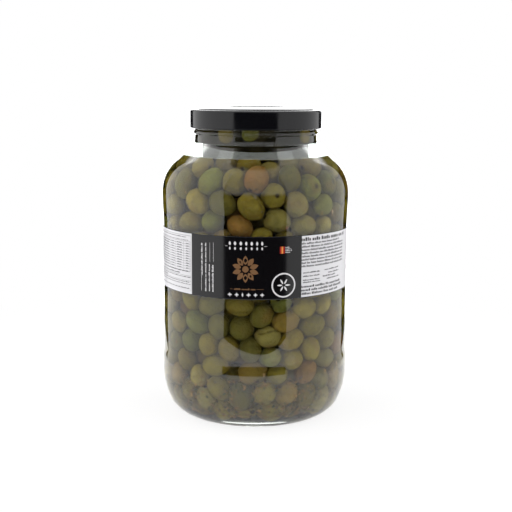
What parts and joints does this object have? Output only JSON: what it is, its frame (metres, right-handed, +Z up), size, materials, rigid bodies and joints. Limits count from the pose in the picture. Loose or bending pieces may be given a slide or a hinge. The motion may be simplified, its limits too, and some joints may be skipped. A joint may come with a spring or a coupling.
{
  "type": "jar of olives",
  "caption": "Large shut glass jar of whole green olives in brine, with a black twist-off lid and a black wrap-around label, as on a pantry or shop shelf.",
  "frame": {"origin": "centre of the foot ring, on the surface that the jar stands on", "axes": "+Z up along the jar's axis, from the base to the lid; the front of the label faces -Y, +X is to its right"},
  "size_m": [0.1606, 0.1606, 0.2626],
  "materials": {
    "glass": "clear smooth flint glass, faintly aqua where it is thick",
    "lid": "gloss black lacquer on tinplate",
    "label": "satin laminated print, black with white panels",
    "olives": "wet waxy olive skin, uneven yellow-green to brown",
    "brine": "clear yellowish brine"
  },
  "bodies": {
    "root": {"jar": "glass", "lid": "lid", "label": "label", "olives": "olives", "brine": "brine"}
  },
  "joints": []
}
